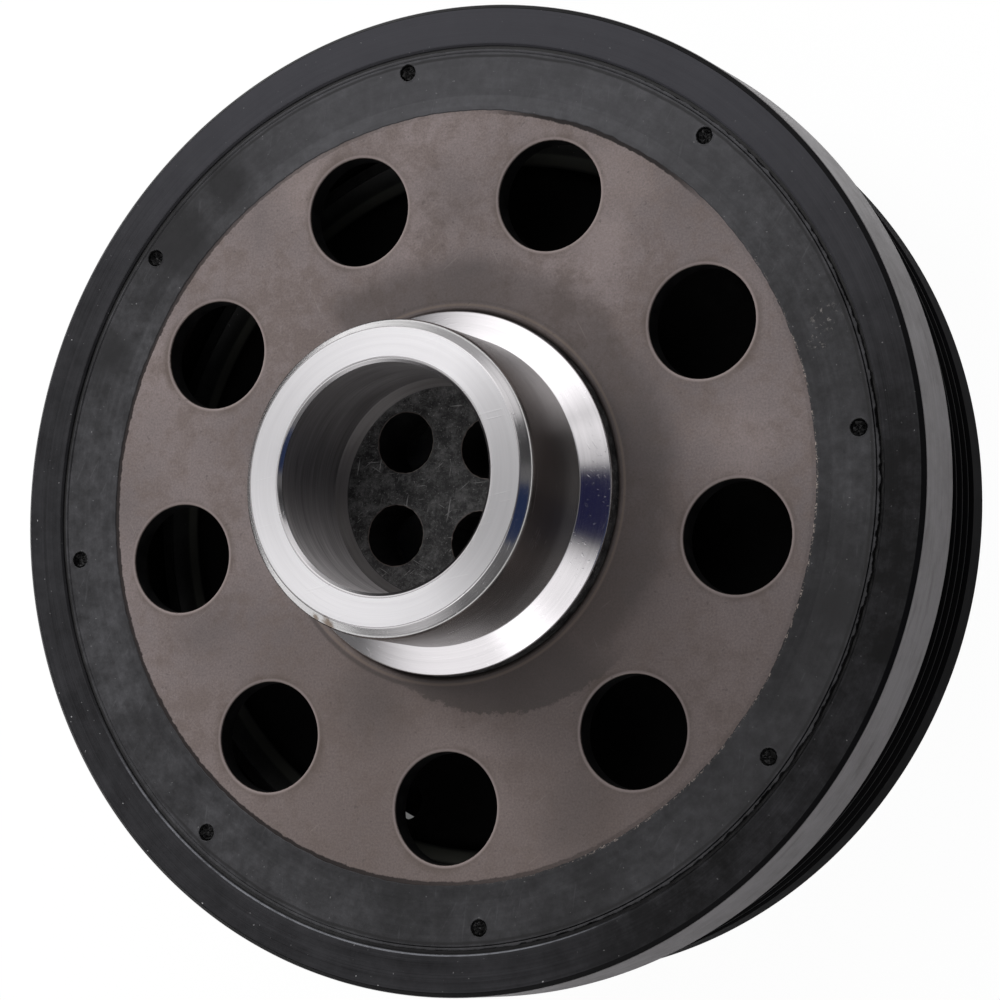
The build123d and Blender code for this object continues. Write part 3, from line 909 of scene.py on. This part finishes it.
def buildInertiaRing(r):
    bm = bmesh.new()
    angles = evenAngles(720)
    rim, barrelEnd, top = nodeSpan("inertia_ring")
    front = nodeSpan("thrust_ring")[2]
    bore, flangeTop, foot = r["bore"], r["flangeTop"], top - r["chamfer"]
    edge = rim - r["chamfer"] - 0.05
    face = [(bore, flangeTop), (bore, top - 0.4), (bore + 0.35, top - 0.04), (bore + 0.6, top)]
    spinStrip(bm, face + [(90, top), (92, top), (94, top), (edge, top)], angles, 0)
    spinStrip(bm, [(edge, top), (edge + 0.1, top - 0.05), (rim - 0.12, foot + 0.12)], angles, 3)
    band = [(rim - 0.12, foot + 0.12), (rim - 0.03, foot), (rim, foot - 0.14), (rim, top - 10)]
    band += [(rim, front + 0.3, 0.12), (rim - 0.3, front)]
    spinStrip(bm, roundedProfile(band), angles, 1)
    inner, outer = r["barrel"]
    shelf, shelfBore = r["shelf"]
    back = [(rim - 0.3, front), (outer, front), (outer, barrelEnd), (inner, barrelEnd), (inner, shelf - 0.5)]
    back += [(inner + 0.15, shelf - 0.15), (inner + 0.5, shelf), (shelfBore, shelf), (shelfBore, flangeTop)]
    spinStrip(bm, back + [(bore, flangeTop)], angles, 2)
    finishes = (ringCoat, bareBand, innerCoat, edgeCoat)
    makePiece(bm, "inertia_ring_turned", finishes, "inertia_ring")


buildInertiaRing(ring)


pulley = {
    "groove": {"count": 6, "depth": 3.105, "pitch": 3.56, "first": 25.62, "mouth": 1.48, "root": 0.35},
    "bearingBore": 85.595,
    "step": 15.9,
    "sleeveSeat": 76.495,
    "sleeveStop": 1.5,
    "land": 88.0,  # the plain front land's middle
    "dish": 4.0,
}


def buildPulley(p):
    bm = bmesh.new()
    angles = evenAngles(360)
    belt, front, rear = nodeSpan("pulley")
    groove, land, bearing = p["groove"], p["land"], p["bearingBore"]
    root = belt - groove["depth"]
    outline = [(bearing, rear), (belt - 0.5, rear), (belt, rear - 0.5, 0.1)]
    for i in range(groove["count"]):
        z = groove["first"] - i * groove["pitch"]
        outline += [(belt, z + groove["mouth"], 0.14), (root, z + groove["root"], 0.2)]
        outline += [(root, z - groove["root"], 0.2), (belt, z - groove["mouth"], 0.14)]
    outline += [(belt, front + 0.8, 0.2), (belt - 0.8, front, 0.2), (land, front)]
    spinStrip(bm, roundedProfile(outline), angles, 0)
    seat, dish, stop = p["sleeveSeat"], front + p["dish"], p["sleeveStop"]
    inside = [(land, front), (land - 1.5, front, 0.4), (land - 3.5, dish, 0.8), (seat - stop, dish, 0.2)]
    inside += [(seat - stop, dish + stop), (seat, dish + stop), (seat, p["step"]), (bearing, p["step"])]
    spinStrip(bm, roundedProfile(inside + [(bearing, rear)]), angles, 1)
    makePiece(bm, "pulley_rim", (beltCoat, dishCoat), "pulley")


buildPulley(pulley)


carrier = {
    "wall": 2.7,
    "bend": 3.3,
    "bore": 28.0,
    "band": (56.0, 65.2),  # the ring that holds the windows
    "windows": {"count": 3, "pitch": 60.995, "radius": 3.7, "phase": 13.5},
}


def buildCarrier(c):
    bm = bmesh.new()
    outer, end, top = nodeSpan("coupling_carrier")
    windows, band, bore = c["windows"], c["band"], c["bore"]
    low, inner = top - c["wall"], outer - c["wall"]
    sides, half, steps = 16, math.radians(5), 90  # a window's patch, and the steps to the next
    middles = evenAngles(windows["count"], windows["phase"])
    spans, gaps = holeSpans(middles, half, sides), gapSpans(middles, half, steps)
    angles = [a for span, gap in zip(spans, gaps) for a in span[:-1] + gap[:-1]]
    outline = [(band[1], top)] + quarterBend(outer - c["bend"], top, c["bend"])
    spinStrip(bm, outline + [(outer, end + 0.3), (outer - 0.3, end)], angles)
    under = [(outer - 0.3, end), (inner + 0.3, end), (inner, end + 0.3)]
    under += [(inner, low - 0.6), (inner - 0.18, low - 0.18), (inner - 0.6, low), (band[1], low)]
    spinStrip(bm, under, angles, 1)
    spinStrip(bm, [(band[0], top), (42.0, top), (bore, top)], angles)
    spinStrip(bm, [(bore, top), (bore, low), (42.0, low), (band[0], low)], angles, 1)
    rim = ((0.2, 0.0), (0.05, 0.06), (0.0, 0.2), (0.0, c["wall"] - 0.2), (0.2, c["wall"]))
    for middle, span, gap in zip(middles, spans, gaps):
        piercedPatch(bm, windows, middle, band, span, 4, top, rim)
        piercedPatch(bm, windows, middle, band, span, 4, low, ((0.2, 0.0),), 1, up=False)
        plainPatch(bm, band, gap, 4, top)
        plainPatch(bm, band, gap, 4, low, 1, up=False)
    makePiece(bm, "carrier_cup", (carrierCoat, dishCoat), "coupling_carrier")


buildCarrier(carrier)
# the other solids keep their shape, with a finish of their own
for node in ("coupling_rubber", "coupling_sleeve", "plain_bush", "thrust_ring"):
    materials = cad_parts[node].data.materials
    materials.clear()
    materials.append(couplingSkin if node == "coupling_rubber" else sleeveCoat)
print("all pieces made")


stage = {
    "side": 4.0,  # half the floor's side, metres
    "gap": 0.0002,  # between the part and the floor, metres
    "paper": (0.86, 0.86, 0.86),
    "white": 0.97,  # share of plain white that the camera sees
    "dark": (84.0, 91.0),  # under the part the paper lies in the dark, mm
    "mirrored": (160.0, 520.0),  # the part's own shade in what it mirrors, mm
    "peep": (68.4, 0.8, 0.13),  # light that reaches the floor behind the window: radius, width, level
}


def buildStage(s):
    mesh = bpy.data.meshes.new("studio_floor")
    corners = [(x * s["side"], y * s["side"], 0) for x, y in ((-1, -1), (1, -1), (1, 1), (-1, 1))]
    mesh.from_pydata(corners, [], [(0, 1, 2, 3)])
    floor = bpy.data.objects.new("studio_floor", mesh)
    floor.location = (0, 0, -s["gap"])
    scene.collection.objects.link(floor)
    material, tree, shader = newMaterial("floor_paper")
    shader.inputs["Base Color"].default_value = (*s["paper"], 1)
    shader.inputs["Roughness"].default_value = 0.9
    glow = tree.nodes.new("ShaderNodeEmission")
    paths = tree.nodes.new("ShaderNodeLightPath")
    mixed = tree.nodes.new("ShaderNodeMixShader")
    radius = radiusFrom(tree)
    peepRadius, peepWidth, peepLevel = s["peep"]
    under = spread(tree, radius, *s["dark"], 0.0, s["white"])
    under = timesPlus(tree, ringMask(tree, peepRadius, peepWidth, 0.1, radius), peepLevel, under)
    mirrored = spread(tree, radius, *s["mirrored"], 0.0, s["white"])
    seen = calc(tree, "MAXIMUM", paths.outputs["Is Camera Ray"], paths.outputs["Is Transmission Ray"])
    bounced = times(tree, paths.outputs["Is Glossy Ray"], mirrored)
    share = calc(tree, "MAXIMUM", times(tree, seen, under), bounced)
    for source, socket in zip((share, shader.outputs[0], glow.outputs[0]), mixed.inputs):
        plug(tree, source, socket)
    output = [n for n in tree.nodes if n.type == "OUTPUT_MATERIAL"][0]
    plug(tree, mixed.outputs[0], output.inputs["Surface"])
    mesh.materials.append(material)


studio = {
    "level": 0.17,
    "tint": (0.99, 0.975, 0.995),
    "cards": (  # direction, inner and outer angle in degrees, what it adds
        ((-0.2, 0.66, 0.72), 6, 43, 1.28),  # big soft window up and behind
        ((0.2, 0.95, 0.3), 8, 44, 0.36),  # top card
        ((0.5, 0.7, 0.47), 8, 30, 0.62),  # card up on the right
        ((0.3, -0.58, 0.75), 10, 28, 1.0),  # card near right
        ((-0.28, -0.74, 0.61), 8, 40, 1.02),  # low card on the near side
        ((-0.7, 0.1, 0.7), 8, 30, 0.5),  # wide card on the left
        ((0.56, 0.38, 0.73), 3, 12, 0.6),  # small card above the camera
    ),
    "flags": (  # direction, inner and outer angle in degrees, colour, how much it covers
        ((0.593, 0.01, 0.8), 9.5, 15.5, (0.015, 0.015, 0.05), 1.0),  # bluish black card beside the camera
        ((0.86, 0.39, 0.34), 9, 15, (0.02, 0.02, 0.022), 0.8),  # dark room low on the right
        ((0.88, -0.24, 0.42), 14, 17, (0.01, 0.025, 0.085), 0.97),  # blue part of that room
        ((0.6, -0.7, 0.4), 6, 15, (0.02, 0.02, 0.022), 0.4),  # shade below the near right card
    ),
    "key": {"place": (-0.65, 0.46, 0.34), "target": (0, 0.0, 0.04), "size": (0.35, 0.3), "power": 10.4},
}


def lightStage(s):
    world = bpy.data.worlds.new("studio")
    scene.world = world
    world.use_nodes = True
    tree = world.node_tree
    direction = tree.nodes.new("ShaderNodeTexCoord").outputs["Generated"]
    level = s["level"]
    for aim, inner, outer, gain in s["cards"]:
        level = timesPlus(tree, towards(tree, direction, aim, inner, outer), gain, level)
    sky = vectorCalc(tree, "SCALE", s["tint"], level)
    for aim, inner, outer, colour, cover in s["flags"]:
        share = times(tree, towards(tree, direction, aim, inner, outer), cover)
        sky = blendColour(tree, share, sky, colour)
    paths = tree.nodes.new("ShaderNodeLightPath")
    seen = calc(tree, "MAXIMUM", paths.outputs["Is Camera Ray"], paths.outputs["Is Transmission Ray"])
    plug(tree, blendColour(tree, seen, sky, (1, 1, 1)), tree.nodes["Background"].inputs[0])
    key = s["key"]
    lamp = bpy.data.lights.new("key_softbox", "AREA")
    lamp.shape = "RECTANGLE"
    lamp.size, lamp.size_y = key["size"]
    lamp.energy = key["power"]
    holder = bpy.data.objects.new("key_softbox", lamp)
    holder.location = key["place"]
    holder.visible_glossy = False
    aim = Vector(key["target"]) - Vector(key["place"])
    holder.rotation_euler = aim.to_track_quat("-Z", "Y").to_euler()
    scene.collection.objects.link(holder)


view = {
    "lens": 125.09,
    "place": (0.29719, -0.07353, 0.63956),
    "right": (0.90167, 0.02998, -0.43139),
    "up": (0.02007, 0.99362, 0.11101),
    "back": (0.43197, -0.10875, 0.89531),
}


def placeCamera(v):
    camera = bpy.data.cameras.new("camera")
    camera.sensor_width = 36.0
    camera.lens = v["lens"]
    camera.clip_start = 0.01
    holder = bpy.data.objects.new("camera", camera)
    turn = Matrix((v["right"], v["up"], v["back"])).transposed()
    holder.matrix_world = Matrix.Translation(v["place"]) @ turn.to_4x4()
    scene.collection.objects.link(holder)
    scene.camera = holder


buildStage(stage)
lightStage(studio)
placeCamera(view)
scene.view_settings.view_transform = "Standard"
print("stage and camera ready")
